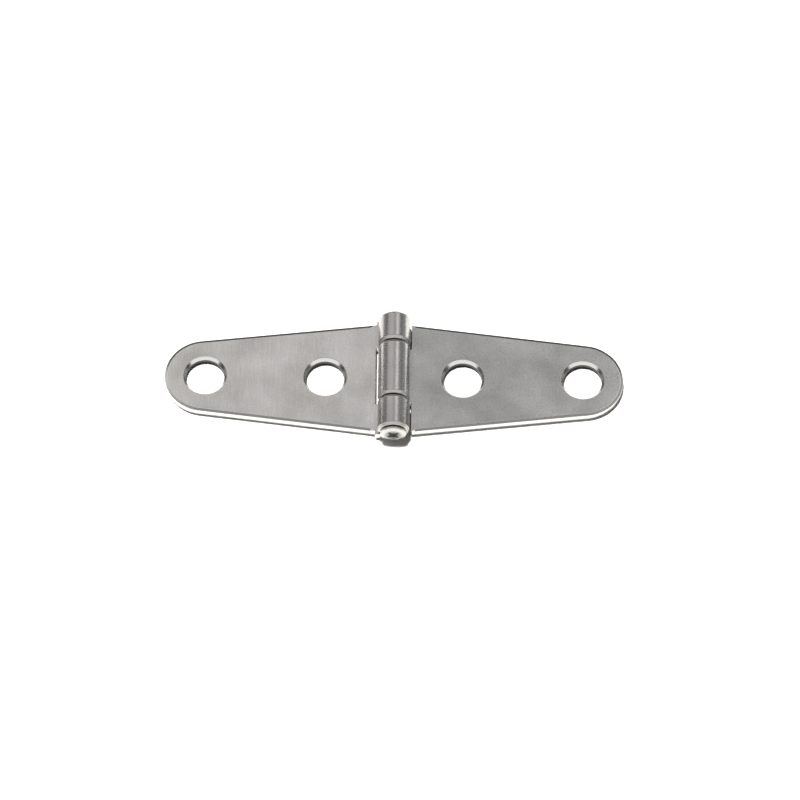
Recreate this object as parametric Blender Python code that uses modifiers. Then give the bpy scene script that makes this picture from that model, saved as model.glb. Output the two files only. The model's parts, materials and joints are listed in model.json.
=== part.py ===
"""Strap hinge: two tapered sheet-steel leaves, rolled round one riveted pin and lying open at 180 degrees.

Metres, +Z up. The pin runs along Y, the leaves reach out along -X and +X, and both rest on the plane
z = 0. Each leaf is drawn in its own frame, whose origin is on the pin's axis and whose +X points at the
leaf's tip; the left leaf is then turned half a turn about Z. The left leaf holds the two end knuckles
and the pin, and the right leaf holds the middle knuckle, which turns on the pin.
"""

import math

import bmesh
import bpy

# Leaves
OPEN_LENGTH = 0.102  # tip to tip, leaves open flat
LEAF_WIDTH = 0.0273  # across the inner edge, where a leaf is widest
SHEET = 0.002  # thickness of the sheet
TIP_RADIUS = 0.009  # rounded tip, which the outer screw hole shares its centre with
EDGE_BREAK = 0.0002  # width that tumbling takes off the leaf's sharp edges

# Barrel
BARREL_LENGTH = 0.029  # over the three knuckles
MIDDLE_KNUCKLE = 0.0137
MIDDLE_OFFSET = 0.0004  # of the middle knuckle towards +Y: the end knuckle at -Y is the longer one
KNUCKLE_GAP = 0.0003  # between neighbouring knuckles
LEFT_CLEARANCE = 0.00045  # between the left leaf's inner edge and the middle knuckle
RIGHT_CLEARANCE = 0.0003  # between the right leaf's inner edge and the end knuckles
SEAM = 0.0003  # between the rolled end and the leaf that it comes back to

# Pin
PIN_DIAMETER = 0.003
PIN_CLEARANCE = 0.00005  # radial, pin to rolled bore
HEAD_DIAMETER = 0.0058
HEAD_HEIGHT = 0.0010
HEAD_CROWN = 0.0005  # rise of the head's dome, part of its height
HEAD_GAP = 0.00025  # between the head, at -Y, and the knuckle that it closes
PIN_END = 0.00025  # how far the plain end stands out of the knuckle at +Y
PIN_CHAMFER = 0.0003  # width of the chamfer on the plain end

# Screw holes
SCREW_HOLE = 0.0085
COUNTERSINK = 0.0097  # diameter at the leaf's face, 90 degrees included
INNER_HOLE = 0.0153  # from the pin's axis

# Fineness of the round shapes
ROLL_STEP = math.radians(5)
TIP_STEP = math.radians(4)
HOLE_SIDES = 64
PIN_SIDES = 64
DOME_STEPS = 5
CUT_OVERRUN = 0.001  # how far a cutter reaches past what it cuts
MERGE = 0.000001

BORE_RADIUS = PIN_DIAMETER / 2 + PIN_CLEARANCE
KNUCKLE_RADIUS = BORE_RADIUS + SHEET
OUTER_HOLE = OPEN_LENGTH / 2 - TIP_RADIUS


def clear_scene():
    """Remove every object of the startup scene."""
    for obj in list(bpy.data.objects):
        bpy.data.objects.remove(obj, do_unlink=True)


def new_collection(name):
    """Make a collection under the scene."""
    collection = bpy.data.collections.new(name)
    bpy.context.scene.collection.children.link(collection)
    return collection


def steel(name, color, roughness):
    """A metallic Principled BSDF."""
    material = bpy.data.materials.new(name)
    material.use_nodes = True
    shader = material.node_tree.nodes["Principled BSDF"]
    shader.inputs["Base Color"].default_value = (*color, 1.0)
    shader.inputs["Metallic"].default_value = 1.0
    shader.inputs["Roughness"].default_value = roughness
    return material


def arc(radius, start, end, step, centre=(0.0, 0.0)):
    """Points of an arc about a centre, from one angle to another, both included."""
    count = max(2, math.ceil(abs(end - start) / step))
    angles = [start + (end - start) * i / count for i in range(count + 1)]
    return [(centre[0] + radius * math.cos(a), centre[1] + radius * math.sin(a)) for a in angles]


def flat_outline(name, points, thickness, collection):
    """A closed outline in the curve's own XY plane, filled and extruded to a thickness about it."""
    curve = bpy.data.curves.new(name, "CURVE")
    curve.dimensions = "2D"
    curve.fill_mode = "BOTH"
    curve.extrude = thickness / 2
    spline = curve.splines.new("POLY")
    spline.points.add(len(points) - 1)
    for point, (x, y) in zip(spline.points, points):
        point.co = (x, y, 0.0, 1.0)
    spline.use_cyclic_u = True
    obj = bpy.data.objects.new(name, curve)
    collection.objects.link(obj)
    return obj


def curve_to_mesh(curve_object):
    """Replace a curve object by a closed mesh object in the same place."""
    bpy.context.view_layer.update()
    evaluated = curve_object.evaluated_get(bpy.context.evaluated_depsgraph_get())
    mesh = bpy.data.meshes.new_from_object(evaluated)
    work = bmesh.new()
    work.from_mesh(mesh)
    bmesh.ops.remove_doubles(work, verts=work.verts, dist=MERGE)
    bmesh.ops.recalc_face_normals(work, faces=work.faces)
    work.to_mesh(mesh)
    work.free()
    name = curve_object.name
    place = curve_object.matrix_world.copy()
    collection = curve_object.users_collection[0]
    bpy.data.objects.remove(curve_object, do_unlink=True)
    obj = bpy.data.objects.new(name, mesh)
    obj.matrix_world = place
    collection.objects.link(obj)
    return obj


def turned(name, profile, sides, collection):
    """A profile of (radius, height) points, listed top to bottom, turned about Z."""
    mesh = bpy.data.meshes.new(name)
    edges = [(i, i + 1) for i in range(len(profile) - 1)]
    mesh.from_pydata([(r, 0.0, z) for r, z in profile], edges, [])
    obj = bpy.data.objects.new(name, mesh)
    collection.objects.link(obj)
    screw = obj.modifiers.new("turn", "SCREW")
    screw.axis = "Z"
    screw.steps = screw.render_steps = sides
    screw.use_merge_vertices = True
    screw.merge_threshold = MERGE
    return obj


def as_helper(obj, parent):
    """Mark a cutter, and carry it with the piece that it shapes."""
    obj.parent = parent
    obj.hide_render = True
    obj.display_type = "WIRE"
    return obj


def boolean(obj, operation, other):
    """Add an exact Boolean of another mesh object."""
    modifier = obj.modifiers.new(f"{operation.lower()}_{other.name}", "BOOLEAN")
    modifier.operation = operation
    modifier.solver = "EXACT"
    modifier.object = other


def rolled_section():
    """Section of a leaf across the pin, as (x, z): the flat sheet, then the roll round the bore.

    The sheet comes in under the pin, goes round the far side and over the top, and ends just above
    the flat sheet again, leaving the seam.
    """
    tip = OPEN_LENGTH / 2 + CUT_OVERRUN
    under_the_pin = math.radians(270)
    roll_end = -math.asin((KNUCKLE_RADIUS - SHEET - SEAM) / KNUCKLE_RADIUS)
    outside = arc(KNUCKLE_RADIUS, under_the_pin, roll_end, ROLL_STEP)
    inside = arc(BORE_RADIUS, roll_end, under_the_pin, ROLL_STEP)
    return [(tip, -KNUCKLE_RADIUS), *outside, *inside, (tip, -BORE_RADIUS)]


def plan_outline(knuckles, clearance):
    """Plan of a leaf, as (x, y): a tapered strap with a round tip, and a tab for each knuckle."""
    half_width = LEAF_WIDTH / 2
    inner_edge = KNUCKLE_RADIUS + clearance
    tip_centre = OPEN_LENGTH / 2 - TIP_RADIUS
    to_corner = math.atan2(half_width, inner_edge - tip_centre)
    corner_distance = math.hypot(half_width, inner_edge - tip_centre)
    tangent = to_corner - math.acos(TIP_RADIUS / corner_distance)
    tip = arc(TIP_RADIUS, -tangent, tangent, TIP_STEP, (tip_centre, 0.0))
    past_barrel = -KNUCKLE_RADIUS - CUT_OVERRUN
    inner_side = [(inner_edge, half_width)]
    for low, high in sorted(knuckles, reverse=True):
        inner_side += [(inner_edge, high), (past_barrel, high), (past_barrel, low), (inner_edge, low)]
    inner_side.append((inner_edge, -half_width))
    return tip + inner_side


def screw_hole_cutter(name, x, collection):
    """A countersunk hole's cutter: a straight drill, and a 90 degree cone down from the leaf's face."""
    face = -BORE_RADIUS
    top = face + CUT_OVERRUN
    bottom = -KNUCKLE_RADIUS - CUT_OVERRUN
    drill = SCREW_HOLE / 2
    cone_depth = COUNTERSINK / 2 - drill
    profile = [
        (0.0, top),
        (COUNTERSINK / 2 + CUT_OVERRUN, top),
        (drill, face - cone_depth),
        (drill, bottom),
        (0.0, bottom),
    ]
    cutter = turned(name, profile, HOLE_SIDES, collection)
    cutter.location.x = x
    return cutter


def make_leaf(name, knuckles, clearance, turn, material, parts, cutters):
    """A leaf: its rolled section across the barrel, cut to its plan, then drilled."""
    section = flat_outline(name, rolled_section(), BARREL_LENGTH + 2 * CUT_OVERRUN, parts)
    section.rotation_euler.x = math.radians(90)
    leaf = curve_to_mesh(section)
    leaf.data.transform(leaf.matrix_basis)
    leaf.matrix_basis.identity()
    leaf.data.materials.append(material)

    plan = flat_outline(f"{name}_plan", plan_outline(knuckles, clearance), 4 * KNUCKLE_RADIUS, cutters)
    boolean(leaf, "INTERSECT", as_helper(curve_to_mesh(plan), leaf))
    for place, x in (("inner", INNER_HOLE), ("outer", OUTER_HOLE)):
        cutter = screw_hole_cutter(f"{name}_{place}_hole", x, cutters)
        boolean(leaf, "DIFFERENCE", as_helper(cutter, leaf))

    edges = leaf.modifiers.new("edge_break", "BEVEL")
    edges.width = EDGE_BREAK
    edges.segments = 2
    edges.limit_method = "ANGLE"
    edges.angle_limit = math.radians(60)
    edges.use_clamp_overlap = False

    leaf.location.z = KNUCKLE_RADIUS
    leaf.rotation_euler.z = turn
    return leaf


def make_pin(name, material, parts):
    """The pin: a straight shank with a low domed head at -Y and a plain chamfered end at +Y."""
    shank = PIN_DIAMETER / 2
    head = HEAD_DIAMETER / 2
    seat = BARREL_LENGTH / 2 + HEAD_GAP
    rim = seat + HEAD_HEIGHT - HEAD_CROWN
    dome_radius = (head**2 + HEAD_CROWN**2) / (2 * HEAD_CROWN)
    dome_centre = rim + HEAD_CROWN - dome_radius
    half_angle = math.asin(head / dome_radius)
    far_end = BARREL_LENGTH / 2 + PIN_END
    section = [(0.0, far_end), (shank - PIN_CHAMFER, far_end), (shank, far_end - PIN_CHAMFER)]
    section += [(shank, -seat), (head, -seat)]
    for i in range(DOME_STEPS + 1):
        angle = half_angle * (1 - i / DOME_STEPS)
        section.append((dome_radius * math.sin(angle), -dome_centre - dome_radius * math.cos(angle)))
    pin = turned(name, section, PIN_SIDES, parts)
    pin.data.materials.append(material)
    pin.location.z = KNUCKLE_RADIUS
    pin.rotation_euler.x = math.radians(-90)
    return pin


def main():
    clear_scene()
    parts = new_collection("strap_hinge")
    cutters = new_collection("cutters")

    satin = steel("satin_stainless", (0.45, 0.44, 0.43), 0.35)
    polished = steel("polished_stainless", (0.52, 0.51, 0.50), 0.2)

    middle = (MIDDLE_OFFSET - MIDDLE_KNUCKLE / 2, MIDDLE_OFFSET + MIDDLE_KNUCKLE / 2)
    far = (middle[1] + KNUCKLE_GAP, BARREL_LENGTH / 2)
    near = (-BARREL_LENGTH / 2, middle[0] - KNUCKLE_GAP)
    turned_ends = [(-far[1], -far[0]), (-near[1], -near[0])]

    make_leaf("left_leaf", turned_ends, LEFT_CLEARANCE, math.radians(180), satin, parts, cutters)
    make_leaf("right_leaf", [middle], RIGHT_CLEARANCE, 0.0, satin, parts, cutters)
    make_pin("hinge_pin", polished, parts)


main()
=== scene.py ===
"""Looks of a strap hinge: two satin stainless leaves, rolled round a headed pin and lying open.

The hinge is made the way the real one is. Each leaf starts as a flat blank with rounded edges and
countersunk holes, and its tabs are then rolled round the pin. Everything is in metres, in the frame of
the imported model: +X along the right leaf, +Y along the pin, +Z up out of the mounting plane.
"""

import json
import logging
import math
from collections.abc import Callable, Sequence
from dataclasses import dataclass
from enum import Enum
from typing import Any

import bmesh
import bpy
from mathutils import Matrix, Vector


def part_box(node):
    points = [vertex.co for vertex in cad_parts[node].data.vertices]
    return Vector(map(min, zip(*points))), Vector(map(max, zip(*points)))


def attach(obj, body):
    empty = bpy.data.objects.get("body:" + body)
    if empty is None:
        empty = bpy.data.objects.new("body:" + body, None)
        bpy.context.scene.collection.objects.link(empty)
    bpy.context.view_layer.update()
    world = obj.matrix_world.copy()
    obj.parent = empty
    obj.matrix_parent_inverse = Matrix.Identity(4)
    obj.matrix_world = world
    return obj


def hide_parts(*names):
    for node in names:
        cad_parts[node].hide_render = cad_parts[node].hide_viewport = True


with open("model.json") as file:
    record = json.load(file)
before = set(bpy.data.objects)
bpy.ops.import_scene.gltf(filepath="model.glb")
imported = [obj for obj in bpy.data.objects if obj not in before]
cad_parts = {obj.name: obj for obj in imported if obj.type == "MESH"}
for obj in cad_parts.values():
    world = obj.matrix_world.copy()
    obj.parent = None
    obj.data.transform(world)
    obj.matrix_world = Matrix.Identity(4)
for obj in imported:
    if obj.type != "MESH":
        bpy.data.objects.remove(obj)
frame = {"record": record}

LOG = logging.getLogger("strap_hinge")

MM = 0.001
LEAF_WIDTH = 27.3 * MM
MIDDLE_KNUCKLE = (-6.45 * MM, 7.25 * MM)
KNUCKLE_GAP = 0.3 * MM
SECTION_STEP = math.radians(15)
PAPER_DROP = 0.02 * MM


def linear_rgba(hex_colour: str) -> tuple[float, float, float, float]:
    """Turn an sRGB hex colour into the linear values that shaders and lights take.

    Args:
        hex_colour: six hex digits after a hash, such as "#c4c2bf".

    Returns:
        Linear red, green and blue, with an alpha of 1.
    """
    digits = hex_colour.lstrip("#")
    channels = [int(digits[i : i + 2], 16) / 255 for i in (0, 2, 4)]
    red, green, blue = (c / 12.92 if c <= 0.04045 else ((c + 0.055) / 1.055) ** 2.4 for c in channels)
    return (red, green, blue, 1.0)


def smoothstep(low: float, high: float, value: float) -> float:
    """Blend from 0 at low to 1 at high, level at both ends; low may be the larger of the two."""
    t = min(1.0, max(0.0, (value - low) / (high - low)))
    return t * t * (3 - 2 * t)


# ---------------------------------------------------------------------------------------------------
# Outlines and profiles
# ---------------------------------------------------------------------------------------------------


@dataclass(frozen=True)
class PathPoint:
    """A point of an outline or a profile, with the direction that faces out of the metal there."""

    place: Vector
    normal: Vector


def right_of(direction: Vector) -> Vector:
    """The direction a quarter turn to the right."""
    return Vector((direction.y, -direction.x))


def fillet(
    before: Vector, corner: Vector, after: Vector, radius: float, step: float, segments: int | None
) -> list[PathPoint]:
    """Round one corner of a path that keeps the metal on its left.

    Args:
        before: the corner ahead of this one.
        corner: the corner itself.
        after: the corner that follows.
        radius: radius of the rounding.
        step: largest angle between two points of the arc.
        segments: number of steps to use in place of the angle, if given.

    Returns:
        The arc's points, both ends included, with exact normals.
    """
    inward = (corner - before).normalized()
    outward = (after - corner).normalized()
    turn = math.atan2(inward.cross(outward), inward.dot(outward))
    bend = math.copysign(1.0, turn)
    start = corner - inward * radius * math.tan(abs(turn) / 2)
    centre = start - right_of(inward) * radius * bend
    count = segments or max(2, math.ceil(abs(turn) / step))
    points = []
    for i in range(count + 1):
        normal = Matrix.Rotation(turn * i / count, 2) @ right_of(inward)
        points.append(PathPoint(centre + normal * radius * bend, normal))
    return points


def filleted(
    corners: Sequence[tuple[float, float, float]], closed: bool, step: float, segments: int | None = None
) -> list[PathPoint]:
    """Follow a polygon, or an open chain of straight lines, with each corner rounded.

    Args:
        corners: (x, y, radius) of each corner, with the metal on the left; the ends of an open chain
            take no radius.
        closed: whether the last corner leads back to the first.
        step: largest angle between two points of an arc.
        segments: number of steps of every arc, for paths that must match point by point.

    Returns:
        The points of the path in order.
    """
    places = [Vector((x, y)) for x, y, _ in corners]
    points = []
    for i, (_, _, radius) in enumerate(corners):
        is_end = not closed and i in (0, len(corners) - 1)
        if is_end:
            other = places[1] if i == 0 else places[i - 1]
            along = (other - places[i]) if i == 0 else (places[i] - other)
            points.append(PathPoint(places[i], right_of(along.normalized())))
        else:
            points += fillet(places[i - 1], places[i], places[(i + 1) % len(places)], radius, step, segments)
    return points


def with_stations(points: Sequence[PathPoint], longest: float) -> list[PathPoint]:
    """Add points to the straight runs of a closed path, so that a section can change along them.

    Args:
        points: the path.
        longest: greatest distance to leave between two points.

    Returns:
        The path with its added points, whose normals stay square to the run.
    """
    dense = []
    for point, following in zip(points, [*points[1:], points[0]]):
        run = following.place - point.place
        count = max(1, math.ceil(run.length / longest))
        dense.append(point)
        for i in range(1, count):
            dense.append(PathPoint(point.place + run * i / count, point.normal))
    return dense


# ---------------------------------------------------------------------------------------------------
# Finishes
# ---------------------------------------------------------------------------------------------------


def add_node(
    tree: bpy.types.NodeTree, kind: str, inputs: dict[str | int, Any] | None = None, **settings: Any
) -> bpy.types.Node:
    """Add a node, set its properties, and set or link its inputs.

    Args:
        tree: the node tree.
        kind: the node's type, such as "ShaderNodeTexNoise".
        inputs: value or source socket of each input, by name or index.
        **settings: properties of the node itself.

    Returns:
        The new node.
    """
    node = tree.nodes.new(kind)
    for name, value in settings.items():
        setattr(node, name, value)
    for name, value in (inputs or {}).items():
        if isinstance(value, bpy.types.NodeSocket):
            tree.links.new(value, node.inputs[name])
        else:
            node.inputs[name].default_value = value
    return node


class Attribute(Enum):
    """Names of the values that a mesh carries for its finish."""

    # PIT_SHARE also sets how much painted shade the pin head's cup and pit take.
    PIT_SHARE = "pit_share"  # depth in the pin head's pit, as a share of the deepest
    SHEET_PLACE = "sheet_place"  # where a point lay in the flat blank, before the tabs were rolled
    TURNED_RADIUS = "turned_radius"  # distance from the middle of the countersink


@dataclass(frozen=True)
class SatinSheet:
    """Satin stainless sheet: rolled, brushed across the strap and then tumbled.

    Brushing leaves short faint streaks across the leaf, and tumbling breaks them into a fine mottle, so
    the eye sees an even grey with a soft sparkle in place of a mirror.
    """

    name: str = "satin_stainless_sheet"
    light: str = "#d3d2d0"
    dark: str = "#b4b3b1"
    roughness: float = 0.30
    roughness_spread: float = 0.07
    streak_width: float = 0.3 * MM
    streak_length: float = 5.0 * MM
    mottle: float = 0.5 * MM
    cloud: float = 9.0 * MM
    relief: float = 0.008 * MM
    shift: float = 0.0

    def material(self) -> bpy.types.Material:
        """Make the finish as a node material.

        Returns:
            The new material.
        """
        material = bpy.data.materials.new(self.name)
        material.use_nodes = True
        tree = material.node_tree
        shader = tree.nodes["Principled BSDF"]
        shader.inputs["Metallic"].default_value = 1.0
        place = add_node(tree, "ShaderNodeAttribute", attribute_name=Attribute.SHEET_PLACE.value)
        moved = add_node(
            tree,
            "ShaderNodeVectorMath",
            {0: place.outputs["Vector"], 1: (self.shift, self.shift, self.shift)},
            operation="ADD",
        ).outputs["Vector"]
        stretched = add_node(
            tree,
            "ShaderNodeVectorMath",
            {0: moved, 1: (1 / self.streak_width, 1 / self.streak_length, 1 / self.streak_width)},
            operation="MULTIPLY",
        ).outputs["Vector"]
        streaks = add_node(
            tree, "ShaderNodeTexNoise", {"Vector": stretched, "Scale": 1.0, "Detail": 3.0, "Roughness": 0.6}
        ).outputs["Fac"]
        mottle = add_node(
            tree,
            "ShaderNodeTexNoise",
            {"Vector": moved, "Scale": 1 / self.mottle, "Detail": 4.0, "Roughness": 0.65},
        ).outputs["Fac"]
        clouds = add_node(
            tree, "ShaderNodeTexNoise", {"Vector": moved, "Scale": 1 / self.cloud, "Detail": 2.0}
        ).outputs["Fac"]
        grain = add_node(tree, "ShaderNodeMath", {0: streaks, 1: mottle}, operation="ADD").outputs[0]
        tone = add_node(
            tree, "ShaderNodeMath", {0: mottle, 1: 0.5, 2: clouds}, operation="MULTIPLY_ADD"
        ).outputs[0]
        tone_range = add_node(
            tree, "ShaderNodeMapRange", {"Value": tone, "From Min": 0.55, "From Max": 0.95}
        ).outputs["Result"]
        colour = add_node(
            tree,
            "ShaderNodeMix",
            {"Factor": tone_range, 6: linear_rgba(self.dark), 7: linear_rgba(self.light)},
            data_type="RGBA",
        ).outputs[2]
        tree.links.new(colour, shader.inputs["Base Color"])
        gloss = add_node(
            tree,
            "ShaderNodeMapRange",
            {
                "Value": grain,
                "From Min": 0.75,
                "From Max": 1.25,
                "To Min": self.roughness - self.roughness_spread,
                "To Max": self.roughness + self.roughness_spread,
            },
        ).outputs["Result"]
        tree.links.new(gloss, shader.inputs["Roughness"])
        bump = add_node(
            tree, "ShaderNodeBump", {"Height": grain, "Distance": self.relief, "Strength": 1.0}
        ).outputs["Normal"]
        tree.links.new(bump, shader.inputs["Normal"])
        return material


@dataclass(frozen=True)
class PunchedEdge:
    """Edge of stainless sheet cut by a punch: burnished lines through the thickness.

    The punch draws the metal along, so the cut wall is brighter than the face, with fine lines that
    run through the sheet, and it is duller where the last of the sheet tore off.
    """

    name: str = "punched_stainless_edge"
    bright: str = "#dcdad7"
    torn: str = "#b5b2ae"
    roughness: float = 0.2
    torn_roughness: float = 0.42
    line: float = 0.16 * MM
    line_length: float = 3.0 * MM
    relief: float = 0.003 * MM
    torn_height: float = 0.55 * MM
    torn_waver: float = 0.5 * MM

    def material(self) -> bpy.types.Material:
        """Make the finish as a node material.

        Returns:
            The new material.
        """
        material = bpy.data.materials.new(self.name)
        material.use_nodes = True
        tree = material.node_tree
        shader = tree.nodes["Principled BSDF"]
        shader.inputs["Metallic"].default_value = 1.0
        place = add_node(tree, "ShaderNodeAttribute", attribute_name=Attribute.SHEET_PLACE.value)
        scale = (1 / self.line, 1 / self.line, 1 / self.line_length)
        stretched = add_node(
            tree, "ShaderNodeVectorMath", {0: place.outputs["Vector"], 1: scale}, operation="MULTIPLY"
        ).outputs["Vector"]
        lines = add_node(
            tree, "ShaderNodeTexNoise", {"Vector": stretched, "Scale": 1.0, "Detail": 3.0, "Roughness": 0.6}
        ).outputs["Fac"]
        height = add_node(tree, "ShaderNodeSeparateXYZ", {0: place.outputs["Vector"]}).outputs["Z"]
        wavy = add_node(
            tree, "ShaderNodeMath", {0: lines, 1: -self.torn_waver, 2: height}, operation="MULTIPLY_ADD"
        ).outputs[0]
        burnished = add_node(
            tree,
            "ShaderNodeMapRange",
            {"Value": wavy, "From Min": self.torn_height - self.torn_waver, "From Max": self.torn_height},
        ).outputs["Result"]
        colour = add_node(
            tree,
            "ShaderNodeMix",
            {"Factor": burnished, 6: linear_rgba(self.torn), 7: linear_rgba(self.bright)},
            data_type="RGBA",
        ).outputs[2]
        tree.links.new(colour, shader.inputs["Base Color"])
        gloss = add_node(
            tree,
            "ShaderNodeMapRange",
            {"Value": burnished, "To Min": self.torn_roughness, "To Max": self.roughness},
        ).outputs["Result"]
        tree.links.new(gloss, shader.inputs["Roughness"])
        bump = add_node(
            tree, "ShaderNodeBump", {"Height": lines, "Distance": self.relief, "Strength": 1.0}
        ).outputs["Normal"]
        tree.links.new(bump, shader.inputs["Normal"])
        return material


@dataclass(frozen=True)
class TurnedCountersink:
    """Countersink cut by a rotating tool: bright metal with fine rings round the hole."""

    name: str = "turned_stainless_countersink"
    bright: str = "#dedcd9"
    dull: str = "#c0bdb9"
    roughness: float = 0.22
    roughness_spread: float = 0.08
    ring: float = 0.14 * MM
    relief: float = 0.004 * MM

    def material(self) -> bpy.types.Material:
        """Make the finish as a node material.

        Returns:
            The new material.
        """
        material = bpy.data.materials.new(self.name)
        material.use_nodes = True
        tree = material.node_tree
        shader = tree.nodes["Principled BSDF"]
        shader.inputs["Metallic"].default_value = 1.0
        radius = add_node(
            tree, "ShaderNodeAttribute", attribute_name=Attribute.TURNED_RADIUS.value
        ).outputs["Fac"]
        turns = add_node(
            tree, "ShaderNodeMath", {0: radius, 1: 1 / self.ring}, operation="MULTIPLY"
        ).outputs[0]
        rings = add_node(
            tree, "ShaderNodeTexNoise", {"W": turns, "Scale": 1.0, "Detail": 3.0, "Roughness": 0.6},
            noise_dimensions="1D",
        ).outputs["Fac"]
        colour = add_node(
            tree,
            "ShaderNodeMix",
            {"Factor": rings, 6: linear_rgba(self.dull), 7: linear_rgba(self.bright)},
            data_type="RGBA",
        ).outputs[2]
        tree.links.new(colour, shader.inputs["Base Color"])
        gloss = add_node(
            tree,
            "ShaderNodeMapRange",
            {
                "Value": rings,
                "To Min": self.roughness - self.roughness_spread,
                "To Max": self.roughness + self.roughness_spread,
            },
        ).outputs["Result"]
        tree.links.new(gloss, shader.inputs["Roughness"])
        bump = add_node(
            tree, "ShaderNodeBump", {"Height": rings, "Distance": self.relief, "Strength": 1.0}
        ).outputs["Normal"]
        tree.links.new(bump, shader.inputs["Normal"])
        return material


@dataclass(frozen=True)
class HammeredPinHead:
    """Bright drawn stainless wire, headed over with a rivet set.

    Drawing leaves the shank smooth, and the set leaves small flats and pits on the head, so its
    highlights are bright and broken. The pit and the shallow cup round it are darkened towards a
    near-black colour, the deeper the darker: painted shade.
    """

    name: str = "bright_stainless_wire"
    light: str = "#d8d5d1"
    dark: str = "#a8a5a1"
    # near-black colour of the painted shade in the head's pit and cup
    painted_pit_shade: str = "#2a2826"
    roughness: float = 0.28
    roughness_spread: float = 0.08
    dent: float = 0.9 * MM
    pit: float = 0.2 * MM
    relief: float = 0.02 * MM

    def material(self) -> bpy.types.Material:
        """Make the finish as a node material.

        Returns:
            The new material.
        """
        material = bpy.data.materials.new(self.name)
        material.use_nodes = True
        tree = material.node_tree
        shader = tree.nodes["Principled BSDF"]
        shader.inputs["Metallic"].default_value = 1.0
        place = add_node(tree, "ShaderNodeTexCoord").outputs["Object"]
        dents = add_node(
            tree, "ShaderNodeTexNoise", {"Vector": place, "Scale": 1 / self.dent, "Detail": 1.0}
        ).outputs["Fac"]
        pits = add_node(
            tree, "ShaderNodeTexNoise", {"Vector": place, "Scale": 1 / self.pit, "Detail": 3.0}
        ).outputs["Fac"]
        height = add_node(
            tree, "ShaderNodeMath", {0: pits, 1: 0.15, 2: dents}, operation="MULTIPLY_ADD"
        ).outputs[0]
        colour = add_node(
            tree,
            "ShaderNodeMix",
            {"Factor": pits, 6: linear_rgba(self.dark), 7: linear_rgba(self.light)},
            data_type="RGBA",
        ).outputs[2]
        depth = add_node(
            tree, "ShaderNodeAttribute", attribute_name=Attribute.PIT_SHARE.value
        ).outputs["Fac"]
        # Painted shade: the deeper a point lies in the cup and pit, the more its colour goes to near-black.
        painted_shade_share = add_node(
            tree, "ShaderNodeMapRange", {"Value": depth, "From Min": 0.0, "From Max": 0.55}
        ).outputs["Result"]
        colour = add_node(
            tree, "ShaderNodeMix", {"Factor": painted_shade_share, 6: colour, 7: linear_rgba(self.painted_pit_shade)}, data_type="RGBA"
        ).outputs[2]
        tree.links.new(colour, shader.inputs["Base Color"])
        gloss = add_node(
            tree,
            "ShaderNodeMapRange",
            {
                "Value": pits,
                "From Min": 0.3,
                "From Max": 0.7,
                "To Min": self.roughness - self.roughness_spread,
                "To Max": self.roughness + self.roughness_spread,
            },
        ).outputs["Result"]
        tree.links.new(gloss, shader.inputs["Roughness"])
        bump = add_node(
            tree, "ShaderNodeBump", {"Height": height, "Distance": self.relief, "Strength": 1.0}
        ).outputs["Normal"]
        tree.links.new(bump, shader.inputs["Normal"])
        return material


@dataclass(frozen=True)
class StudioPaper:
    """Matt white background paper, which gives the eye an even pale ground with no gloss."""

    name: str = "matt_white_paper"
    colour: str = "#f4f4f2"
    roughness: float = 0.9

    def material(self) -> bpy.types.Material:
        """Make the finish as a node material.

        Returns:
            The new material.
        """
        material = bpy.data.materials.new(self.name)
        material.use_nodes = True
        shader = material.node_tree.nodes["Principled BSDF"]
        shader.inputs["Base Color"].default_value = linear_rgba(self.colour)
        shader.inputs["Roughness"].default_value = self.roughness
        shader.inputs["Specular IOR Level"].default_value = 0.0
        return material


# ---------------------------------------------------------------------------------------------------
# Leaves
# ---------------------------------------------------------------------------------------------------


class Side(Enum):
    """A leaf of the hinge: its node, its body, which way its tip points, and its notch clearance."""

    LEFT = ("left_leaf", "left_side", -1, 0.45 * MM)
    RIGHT = ("right_leaf", "right_side", 1, 0.3 * MM)

    @property
    def node(self) -> str:
        """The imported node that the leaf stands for."""
        return self.value[0]

    @property
    def body(self) -> str:
        """The body that the leaf rides on."""
        return self.value[1]

    @property
    def sign(self) -> int:
        """1 when the tip points along +X, -1 along -X."""
        return self.value[2]

    @property
    def clearance(self) -> float:
        """Gap between the leaf's inner edge and the other leaf's knuckles."""
        return self.value[3]


class Surface(Enum):
    """Slots of a leaf's mesh, one for each way that its metal was worked."""

    FACE = 0
    EDGE = 1
    COUNTERSINK = 2
    KNUCKLE = 3
    # the hole walls below the countersink, whose colours are painted shade
    BORE = 4


@dataclass(frozen=True)
class EdgeBreak:
    """How far an edge of the sheet is broken: a slope between the face and the wall, with soft corners."""

    width: float
    depth: float
    blend: float
    rounding: float

    def mixed(self, other: "EdgeBreak", share: float) -> "EdgeBreak":
        """The edge part of the way to another one.

        Args:
            other: the edge at a share of 1.
            share: how far towards it, from 0 to 1.

        Returns:
            The edge in between.
        """
        return EdgeBreak(
            self.width + (other.width - self.width) * share,
            self.depth + (other.depth - self.depth) * share,
            self.blend + (other.blend - self.blend) * share,
            self.rounding + (other.rounding - self.rounding) * share,
        )

    @property
    def blend_radius(self) -> float:
        """Radius where the slope runs out into the face."""
        return self.blend / math.tan(math.atan2(self.depth, self.width) / 2)


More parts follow.
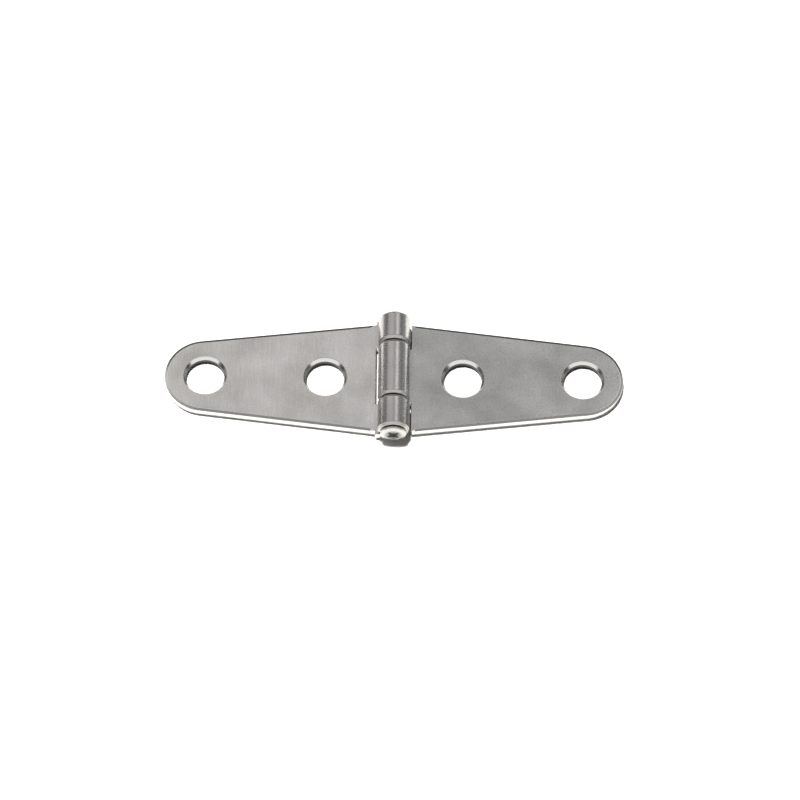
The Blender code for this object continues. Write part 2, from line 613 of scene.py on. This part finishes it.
@dataclass
class HingeLeaf:
    """A leaf: a strap of sheet with countersunk holes, whose tabs are rolled into knuckles.

    The blank is drawn with its tip towards +X and the bend starting at x = 0, under the pin.
    """

    side: Side
    axis_height: float
    length: float
    width: float
    knuckles: tuple[tuple[float, float], ...]
    holes: tuple[float, ...]
    sheet: float = 2.0 * MM
    tip_radius: float = 9.0 * MM
    seam: float = 0.3 * MM
    corner_radius: float = 0.3 * MM
    tab_corner_radius: float = 0.8 * MM
    notch_radius: float = 0.1 * MM
    tip_edge: EdgeBreak = EdgeBreak(0.6 * MM, 0.2 * MM, 0.06 * MM, 0.12 * MM)
    inner_edge_break: EdgeBreak = EdgeBreak(0.12 * MM, 0.12 * MM, 0.04 * MM, 0.08 * MM)
    strap_back: EdgeBreak = EdgeBreak(0.12 * MM, 0.12 * MM, 0.05 * MM, 0.12 * MM)
    knuckle_back: EdgeBreak = EdgeBreak(0.6 * MM, 0.4 * MM, 0.06 * MM, 0.25 * MM)
    margin: float = 0.06 * MM
    hole_diameter: float = 8.5 * MM
    countersink: float = 9.7 * MM
    countersink_half_angle: float = math.radians(45)
    hole_rounding: float = 0.1 * MM
    tip_step: float = math.radians(2)
    station: float = 0.8 * MM
    hole_sides: int = 128
    roll_step: float = math.radians(3)

    @property
    def knuckle_radius(self) -> float:
        """Outside radius of the roll, which rests on the mounting plane."""
        return self.axis_height

    @property
    def inner_edge(self) -> float:
        """Distance from the pin's axis to the leaf's inner edge."""
        return self.knuckle_radius + self.side.clearance

    @property
    def neutral_radius(self) -> float:
        """Radius of the middle of the sheet in the roll, which keeps its length as it bends."""
        return self.knuckle_radius - self.sheet / 2

    @property
    def roll_angle(self) -> float:
        """Angle of the whole roll, from under the pin to the free end above the seam."""
        past_level = math.asin((self.knuckle_radius - self.sheet - self.seam) / self.knuckle_radius)
        return math.radians(270) + past_level

    def outline(self) -> list[PathPoint]:
        """Outline of the flat blank, counter-clockwise, with the tabs at their developed length.

        Returns:
            The points of the closed outline.
        """
        half = self.width / 2
        tip_centre = self.length - self.tip_radius
        towards_corner = Vector((self.inner_edge - tip_centre, half))
        lean = math.atan2(towards_corner.y, towards_corner.x)
        lean -= math.acos(self.tip_radius / towards_corner.length)
        apex = tip_centre + self.tip_radius / math.cos(lean)
        tab_end = -self.neutral_radius * self.roll_angle
        highest = max(high for _, high in self.knuckles)
        lowest = min(low for low, _ in self.knuckles)
        corners = [(self.inner_edge, half, self.notch_radius if highest > half else self.corner_radius)]
        for low, high in sorted(self.knuckles, reverse=True):
            corners += [
                (self.inner_edge, high, self.corner_radius if high > half else self.notch_radius),
                (tab_end, high, self.tab_corner_radius),
                (tab_end, low, self.tab_corner_radius),
                (self.inner_edge, low, self.corner_radius if low < -half else self.notch_radius),
            ]
        corners.append((self.inner_edge, -half, self.notch_radius if lowest < -half else self.corner_radius))
        corners.append((apex, 0.0, self.tip_radius))
        return with_stations(filleted(corners, True, self.tip_step), self.station)

    def border_profile(self, x: float) -> list[PathPoint]:
        """Section of the blank's border, as (distance in from the outline, height above the back).

        The back of a tab becomes the outside of its knuckle, and its sides are broken more than the strap.

        Args:
            x: place along the blank.

        Returns:
            The points of the section, from the face to the back.
        """
        tab_end = -self.neutral_radius * self.roll_angle
        near_barrel = smoothstep(self.inner_edge + 1.2 * MM, self.inner_edge + 0.6 * MM, x)
        on_knuckle = smoothstep(self.inner_edge - 0.4 * MM, -self.sheet, x)
        on_knuckle *= smoothstep(tab_end + 0.3 * MM, tab_end + 1.3 * MM, x)
        face = self.tip_edge.mixed(self.inner_edge_break, near_barrel)
        back = self.strap_back.mixed(self.knuckle_back, on_knuckle)
        corners = [
            (face.width + face.blend + self.margin, self.sheet, 0.0),
            (face.width, self.sheet, face.blend_radius),
            (0.0, self.sheet - face.depth, face.rounding),
            (0.0, back.depth, back.rounding),
            (back.width, 0.0, back.blend_radius),
            (back.width + back.blend + self.margin, 0.0, 0.0),
        ]
        return filleted(corners, False, SECTION_STEP, segments=4)

    def hole_profile(self) -> list[PathPoint]:
        """Section of a screw hole, as (radius, height above the back), from the face down.

        Returns:
            The points of the section.
        """
        drill = self.hole_diameter / 2
        rim = self.countersink / 2
        cone_foot = self.sheet - (rim - drill) / math.tan(self.countersink_half_angle)
        corners = [
            (rim + self.hole_rounding + self.margin, self.sheet, 0.0),
            (rim, self.sheet, self.hole_rounding),
            (drill, cone_foot, self.hole_rounding / 2),
            (drill, 0.0, self.hole_rounding),
            (drill + self.hole_rounding + self.margin, 0.0, 0.0),
        ]
        return filleted(corners, False, SECTION_STEP)

    def sweep(
        self,
        work: bmesh.types.BMesh,
        count: int,
        station: Callable[[int], tuple[Vector, Vector, list[PathPoint]]],
        surface: Surface,
    ) -> tuple[list[bmesh.types.BMEdge], list[bmesh.types.BMEdge]]:
        """Carry a section round a closed path, as quads.

        Args:
            work: the mesh to add to.
            count: number of stations round the path.
            station: gives a station's place, its outward direction and its section, whose first value is
                measured against that direction.
            surface: the slot of the new faces.

        Returns:
            The edges of the first ring, on the face, and of the last, on the back.
        """
        normal_layer = work.verts.layers.float_vector["blank_normal"]
        rings = []
        for i in range(count):
            place, outward, section = station(i)
            ring = []
            for point in section:
                flat = (place - outward * point.place.x).to_3d()
                vert = work.verts.new(flat + Vector((0, 0, point.place.y)))
                vert[normal_layer] = (outward * -point.normal.x).to_3d() + Vector((0, 0, point.normal.y))
                ring.append(vert)
            rings.append(ring)
        for i, ring in enumerate(rings):
            following = rings[(i + 1) % count]
            for k in range(len(ring) - 1):
                face = work.faces.new((ring[k], ring[k + 1], following[k + 1], following[k]))
                face.material_index = surface.value
        tops = [work.edges.get((rings[i][0], rings[(i + 1) % count][0])) for i in range(count)]
        bottoms = [work.edges.get((rings[i][-1], rings[(i + 1) % count][-1])) for i in range(count)]
        return tops, bottoms

    def flat_blank(self) -> bmesh.types.BMesh:
        """Make the blank before rolling: punched outline, countersunk holes, rounded edges.

        Returns:
            The blank as an open mesh, which the caller frees.
        """
        work = bmesh.new()
        work.verts.layers.float_vector.new("blank_normal")
        turned = work.verts.layers.float.new(Attribute.TURNED_RADIUS.value)
        outline = self.outline()

        def border(i: int) -> tuple[Vector, Vector, list[PathPoint]]:
            """Station i of the outline."""
            point = outline[i]
            return point.place, point.normal, self.border_profile(point.place.x)

        tops, bottoms = self.sweep(work, len(outline), border, Surface.EDGE)
        section = self.hole_profile()
        cone_foot = self.sheet - (self.countersink - self.hole_diameter) / 2
        for centre in self.holes:

            def rim(i: int) -> tuple[Vector, Vector, list[PathPoint]]:
                """Find a place round this hole, which turns clockwise to keep the metal on its left.

                Args:
                    i: number of the station.

                Returns:
                    The hole's centre, the direction into the hole, and the section.
                """
                angle = -math.tau * i / self.hole_sides
                inwards = -Vector((math.cos(angle), math.sin(angle)))
                return Vector((centre, 0.0)), inwards, section

            work.verts.ensure_lookup_table()
            first = len(work.verts)
            hole_tops, hole_bottoms = self.sweep(work, self.hole_sides, rim, Surface.COUNTERSINK)
            work.verts.ensure_lookup_table()
            for vert in work.verts[first:]:
                vert[turned] = (vert.co.xy - Vector((centre, 0.0))).length
                for face in vert.link_faces:
                    if face.calc_center_median().z < cone_foot:
                        face.material_index = Surface.BORE.value
            tops += hole_tops
            bottoms += hole_bottoms
        for edges, up in ((tops, 1.0), (bottoms, -1.0)):
            made = bmesh.ops.triangle_fill(work, use_beauty=True, edges=edges, normal=(0, 0, up))
            for face in (item for item in made["geom"] if isinstance(item, bmesh.types.BMFace)):
                face.material_index = Surface.FACE.value
                if face.normal.z * up < 0:
                    face.normal_flip()
        return work

    def roll(self, work: bmesh.types.BMesh) -> None:
        """Bend the tabs round the pin: up from under it, over the top and back to the leaf.

        Args:
            work: the flat blank, which is changed in place.
        """
        normal_layer = work.verts.layers.float_vector["blank_normal"]
        place_layer = work.verts.layers.float_vector.new(Attribute.SHEET_PLACE.value)
        steps = math.ceil(self.roll_angle / self.roll_step)
        for i in range(steps):
            cut = -self.neutral_radius * self.roll_angle * i / steps
            geometry = work.verts[:] + work.edges[:] + work.faces[:]
            bmesh.ops.bisect_plane(
                work, geom=geometry, dist=0.0001 * MM, plane_co=(cut, 0, 0), plane_no=(1, 0, 0)
            )
        for face in work.faces:
            on_tab = face.calc_center_median().x < 0
            if on_tab and face.material_index == Surface.FACE.value:
                face.material_index = Surface.KNUCKLE.value
        for vert in work.verts:
            vert[place_layer] = vert.co.copy()
            if vert.co.x < 0:
                angle = -vert.co.x / self.neutral_radius
                reach = self.knuckle_radius - vert.co.z
                vert.co.x = -reach * math.sin(angle)
                vert.co.z = self.axis_height - reach * math.cos(angle)
                vert[normal_layer] = Matrix.Rotation(angle, 3, "Y") @ vert[normal_layer]

    def build(self) -> bpy.types.Object:
        """Make the leaf's mesh object, turned towards its side of the hinge.

        Returns:
            The leaf, linked into the scene.
        """
        work = self.flat_blank()
        self.roll(work)
        normal_layer = work.verts.layers.float_vector["blank_normal"]
        normals = [vert[normal_layer].normalized() for vert in work.verts]
        mesh = bpy.data.meshes.new(f"{self.side.node}_sheet")
        work.to_mesh(mesh)
        work.free()
        mesh.attributes.remove(mesh.attributes["blank_normal"])
        mesh.shade_smooth()
        turn = Matrix.Rotation(0.0 if self.side is Side.RIGHT else math.pi, 4, "Z")
        mesh.transform(turn)
        mesh.normals_split_custom_set_from_vertices([turn.to_3x3() @ normal for normal in normals])
        leaf = bpy.data.objects.new(f"{self.side.node}_sheet", mesh)
        bpy.context.scene.collection.objects.link(leaf)
        return leaf

    def dress(self, leaf: bpy.types.Object) -> None:
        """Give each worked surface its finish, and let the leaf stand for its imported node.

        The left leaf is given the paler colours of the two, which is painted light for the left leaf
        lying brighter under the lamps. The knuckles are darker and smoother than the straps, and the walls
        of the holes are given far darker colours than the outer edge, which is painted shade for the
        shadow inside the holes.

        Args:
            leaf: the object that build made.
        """
        shift = 0.3 if self.side is Side.RIGHT else 0.0
        # Painted light: the left leaf's paler colours stand for it lying brighter under the lamps than the
        # right leaf.
        tone = {"light": "#eae7e4", "dark": "#cdcac6"} if self.side is Side.LEFT else {}
        finishes = {
            Surface.FACE: SatinSheet(f"{self.side.node}_satin_stainless", shift=shift, **tone),
            Surface.EDGE: PunchedEdge(f"{self.side.node}_punched_edge"),
            Surface.COUNTERSINK: TurnedCountersink(f"{self.side.node}_turned_countersink"),
            Surface.KNUCKLE: SatinSheet(
                f"{self.side.node}_rolled_knuckle",
                light="#c6c3c0",
                dark="#b1aeab",
                roughness=0.27,
                roughness_spread=0.04,
                relief=0.003 * MM,
                shift=shift,
            ),
            # Painted shade: the hole walls get near-black colours that stand for the shadow down inside the
            # holes.
            Surface.BORE: PunchedEdge(
                f"{self.side.node}_painted_shade_bore",
                bright="#4a4845",
                torn="#2c2a28",
                roughness=0.4,
                torn_roughness=0.6,
            ),
        }
        for surface in Surface:
            leaf.data.materials.append(finishes[surface].material())
        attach(leaf, self.side.body)
        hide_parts(self.side.node)


# ---------------------------------------------------------------------------------------------------
# Pin
# ---------------------------------------------------------------------------------------------------


@dataclass
class HingePin:
    """The pin: drawn wire with a plain chamfered far end and a near head formed by a rivet set.

    The set leaves a pit with four short arms in the middle of the head.
    """

    axis_height: float
    near_end: float
    far_end: float
    head_diameter: float
    diameter: float = 3.0 * MM
    head_height: float = 1.0 * MM
    crown: float = 0.5 * MM
    rim_rounding: float = 0.35 * MM
    chamfer: float = 0.3 * MM
    cup_depth: float = 0.14 * MM
    cup_radius: float = 1.9 * MM
    pit_depth: float = 0.3 * MM
    pit_radius: float = 0.75 * MM
    arm_depth: float = 0.2 * MM
    arm_reach: float = 1.9 * MM
    arm_width: float = 0.32 * MM
    arm_turn: float = math.radians(40)
    seat_break: float = 0.08 * MM
    seat_margin: float = 0.1 * MM
    end_rounding: float = 0.1 * MM
    sharp_angle: float = math.radians(50)
    sides: int = 144
    rings: int = 40
    rim_steps: int = 8

    def head_section(self) -> list[tuple[float, float]]:
        """Section of the head, as (radius, height over its seat), from the middle out to the shank.

        Returns:
            The points of the section.
        """
        head = self.head_diameter / 2
        rim = self.head_height - self.crown
        section = []
        for i in range(1, self.rings + 1):
            radius = (head - self.rim_rounding) * i / self.rings
            section.append((radius, rim + self.crown * (1 - (radius / head) ** 2)))
        top = section[-1][1]
        for i in range(1, self.rim_steps + 1):
            angle = math.radians(90) * (1 - i / self.rim_steps)
            radius = head - self.rim_rounding * (1 - math.cos(angle))
            section.append((radius, top - self.rim_rounding * (1 - math.sin(angle))))
        section += [(head, self.seat_break), (head - self.seat_break, 0.0), (self.diameter / 2, 0.0)]
        return section

    def far_section(self) -> list[tuple[float, float]]:
        """Section of the plain end, as (radius, place along the pin), from the shank to the middle.

        Returns:
            The points of the section.
        """
        shank = self.diameter / 2
        corners = [
            (shank, self.far_end - 2 * self.chamfer, 0.0),
            (shank, self.far_end - self.chamfer, self.end_rounding),
            (shank - self.chamfer, self.far_end, self.end_rounding),
            (self.end_rounding, self.far_end, 0.0),
        ]
        return [(point.place.x, point.place.y) for point in filleted(corners, False, SECTION_STEP)]

    def pit(self, across: float, along: float) -> float:
        """Depth that the rivet set leaves at a place on the head.

        Args:
            across: distance from the pin's axis along X.
            along: distance from the pin's axis along Z.

        Returns:
            The depth: a shallow cup, with a pit and four short arms in it.
        """
        radius = math.hypot(across, along)
        u = across * math.cos(self.arm_turn) + along * math.sin(self.arm_turn)
        v = along * math.cos(self.arm_turn) - across * math.sin(self.arm_turn)
        arm = self.arm_depth * math.exp(-((min(abs(u), abs(v)) / self.arm_width) ** 2))
        fade = 1 - smoothstep(0.4 * self.arm_reach, self.arm_reach, radius)
        cup = self.cup_depth * math.exp(-((radius / self.cup_radius) ** 8))
        return cup + max(arm * fade, self.pit_depth * math.exp(-((radius / self.pit_radius) ** 2)))

    def build(self) -> bpy.types.Object:
        """Make the pin's mesh object along Y.

        Returns:
            The pin, linked into the scene.
        """
        seat = self.near_end + self.head_height
        section = [(radius, seat - height) for radius, height in self.head_section()] + self.far_section()
        work = bmesh.new()
        pit_share = work.verts.layers.float.new(Attribute.PIT_SHARE.value)
        rings = []
        for radius, y in section:
            ring = []
            for i in range(self.sides):
                angle = math.tau * i / self.sides
                across = radius * math.cos(angle)
                along = radius * math.sin(angle)
                depth = self.pit(across, along) if y < seat - self.seat_margin else 0.0
                vert = work.verts.new((across, y + depth, self.axis_height + along))
                vert[pit_share] = depth / (self.cup_depth + self.pit_depth)
                ring.append(vert)
            rings.append(ring)
        for ring, following in zip(rings, rings[1:]):
            for i in range(self.sides):
                j = (i + 1) % self.sides
                work.faces.new((ring[i], ring[j], following[j], following[i]))
        deepest = self.cup_depth + self.pit_depth
        for ring, y in ((rings[0], self.near_end + deepest), (rings[-1], self.far_end)):
            middle = work.verts.new((0.0, y, self.axis_height))
            middle[pit_share] = 1.0 if ring is rings[0] else 0.0
            for i in range(self.sides):
                work.faces.new((ring[i], ring[(i + 1) % self.sides], middle))
        bmesh.ops.recalc_face_normals(work, faces=work.faces[:])
        mesh = bpy.data.meshes.new("headed_pin")
        work.to_mesh(mesh)
        work.free()
        mesh.shade_smooth()
        mesh.set_sharp_from_angle(angle=self.sharp_angle)
        pin = bpy.data.objects.new("headed_pin", mesh)
        bpy.context.scene.collection.objects.link(pin)
        return pin

    def dress(self, pin: bpy.types.Object) -> None:
        """Give the pin its finish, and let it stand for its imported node.

        Args:
            pin: the object that build made.
        """
        pin.data.materials.append(HammeredPinHead().material())
        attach(pin, Side.LEFT.body)
        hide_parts("hinge_pin")


# ---------------------------------------------------------------------------------------------------
# Studio
# ---------------------------------------------------------------------------------------------------


@dataclass(frozen=True)
class KeyLight:
    """A distant light that casts a soft shadow."""

    name: str
    azimuth: float
    elevation: float
    spread: float
    strength: float


@dataclass(frozen=True)
class Softbox:
    """A soft rectangular light, facing the hinge from a direction."""

    name: str
    towards: tuple[float, float, float]
    width: float
    height: float
    radiance: float
    distance: float = 0.8


@dataclass
class Studio:
    """White paper under one key light high behind the hinge, with soft boxes that the steel mirrors."""

    middle: Vector
    floor_half: float = 3.0
    surround: str = "#525253"
    key: KeyLight = KeyLight("key", math.radians(-145), math.radians(76), math.radians(9), 6.0)
    boxes: tuple[Softbox, ...] = (
        Softbox("ceiling", (0.0, 0.30, 0.95), 3.0, 0.8, 0.33),
        Softbox("left_box", (-0.37, 0.47, 0.80), 0.55, 0.5, 0.40),
        Softbox("right_strip", (0.31, 0.49, 0.81), 0.18, 0.4, 1.05),
        Softbox("left_wall", (-0.88, 0.42, 0.22), 0.6, 0.35, 0.22),
        Softbox("right_wall", (0.88, 0.42, 0.22), 0.6, 0.35, 0.28),
        Softbox("front_card", (0.0, -0.72, 0.69), 2.6, 0.8, 1.2),
    )
    camera_distance: float = 1.0
    camera_elevation: float = math.radians(60.5)
    camera_roll: float = math.radians(0.75)
    sensor: float = 36.0
    field: float = 178.2 * MM
    aim_across: float = 1.36 * MM
    aim_down: float = 3.95 * MM

    def floor(self) -> bpy.types.Object:
        """Lay the paper under the hinge.

        Returns:
            The paper.
        """
        work = bmesh.new()
        bmesh.ops.create_grid(work, x_segments=4, y_segments=4, size=self.floor_half)
        mesh = bpy.data.meshes.new("paper")
        work.to_mesh(mesh)
        work.free()
        mesh.materials.append(StudioPaper().material())
        paper = bpy.data.objects.new("paper", mesh)
        bpy.context.scene.collection.objects.link(paper)
        paper.location.z = -PAPER_DROP
        return paper

    def direction(self, azimuth: float, elevation: float) -> Vector:
        """Direction from the hinge.

        Args:
            azimuth: 0 on the camera's side, growing towards +X.
            elevation: angle above the floor.

        Returns:
            A unit vector.
        """
        flat = math.cos(elevation)
        return Vector((flat * math.sin(azimuth), -flat * math.cos(azimuth), math.sin(elevation)))

    def lights(self) -> None:
        """Light the hinge.

        The key light lights the paper and draws the shadow, and is kept out of the steel's reflections,
        where its disc would burn out the flat leaves. The steel mirrors the soft boxes, which leave the
        paper alone.
        """
        world = bpy.data.worlds.new("studio")
        world.use_nodes = True
        world.node_tree.nodes["Background"].inputs["Color"].default_value = linear_rgba(self.surround)
        bpy.context.scene.world = world
        sun = bpy.data.lights.new(self.key.name, "SUN")
        sun.energy = self.key.strength
        sun.angle = self.key.spread
        key = bpy.data.objects.new(self.key.name, sun)
        bpy.context.scene.collection.objects.link(key)
        towards = self.direction(self.key.azimuth, self.key.elevation)
        key.rotation_euler = towards.to_track_quat("Z", "Y").to_euler()
        key.visible_glossy = False
        for box in self.boxes:
            area = bpy.data.lights.new(box.name, "AREA")
            area.shape = "RECTANGLE"
            area.size = box.width
            area.size_y = box.height
            area.energy = box.radiance * math.pi * box.width * box.height
            light = bpy.data.objects.new(box.name, area)
            bpy.context.scene.collection.objects.link(light)
            towards = Vector(box.towards).normalized()
            light.location = self.middle + towards * box.distance
            light.rotation_euler = towards.to_track_quat("Z", "Y").to_euler()
            light.visible_diffuse = False

    def camera(self) -> None:
        """Set the camera in front of the hinge and above it."""
        lens = bpy.data.cameras.new("camera")
        lens.sensor_width = self.sensor
        lens.lens = self.sensor * self.camera_distance / self.field
        camera = bpy.data.objects.new("camera", lens)
        bpy.context.scene.collection.objects.link(camera)
        towards = self.direction(0.0, self.camera_elevation)
        place = towards.to_track_quat("Z", "Y").to_matrix() @ Matrix.Rotation(self.camera_roll, 3, "Z")
        aim = self.middle + place @ Vector((self.aim_across, -self.aim_down, 0.0))
        camera.rotation_euler = place.to_euler()
        camera.location = aim + towards * self.camera_distance
        bpy.context.scene.camera = camera
        bpy.context.scene.view_settings.view_transform = "Standard"

    def build(self) -> None:
        """Set up the floor, the lights and the camera."""
        self.floor()
        self.lights()
        self.camera()


# ---------------------------------------------------------------------------------------------------
# Hinge
# ---------------------------------------------------------------------------------------------------


def hole_centres(record: dict[str, Any], side: Side) -> tuple[float, ...]:
    """Find a leaf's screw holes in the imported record.

    Args:
        record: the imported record.
        side: the leaf.

    Returns:
        Distances from the pin's axis to the holes, nearest first.
    """
    openings = [item["box_m"] for item in record["physics"]["openings"]]
    middles = [(low[0] + high[0]) / 2 for low, high in openings]
    return tuple(sorted(abs(x) for x in middles if x * side.sign > 0))


def main() -> None:
    """Build the hinge and its studio, and report each piece."""
    logging.basicConfig(level=logging.INFO, format="%(message)s")
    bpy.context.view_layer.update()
    record = frame["record"]
    swing = record["behaviour"]["joints"][0]
    axis_height = swing["pos_m"][2]
    barrel_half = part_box(Side.LEFT.node)[1][1]
    middle_low = MIDDLE_KNUCKLE[0]
    middle_high = MIDDLE_KNUCKLE[1]
    spans = {
        Side.RIGHT: ((middle_low, middle_high),),
        Side.LEFT: ((-barrel_half, -middle_high - KNUCKLE_GAP), (-middle_low + KNUCKLE_GAP, barrel_half)),
    }
    for side in Side:
        leaf = HingeLeaf(
            side=side,
            axis_height=axis_height,
            length=max(abs(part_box(side.node)[0][0]), abs(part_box(side.node)[1][0])),
            width=LEAF_WIDTH,
            knuckles=spans[side],
            holes=hole_centres(record, side),
        )
        piece = leaf.build()
        leaf.dress(piece)
        LOG.info("%s: %d faces", piece.name, len(piece.data.polygons))
    pin_low, pin_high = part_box("hinge_pin")
    pin = HingePin(
        axis_height=axis_height,
        near_end=pin_low[1],
        far_end=pin_high[1],
        head_diameter=pin_high[0] - pin_low[0],
    )
    piece = pin.build()
    pin.dress(piece)
    LOG.info("%s: %d faces", piece.name, len(piece.data.polygons))
    Studio(middle=Vector((0.0, 0.0, 0.0))).build()


if __name__ == "__main__":
    main()
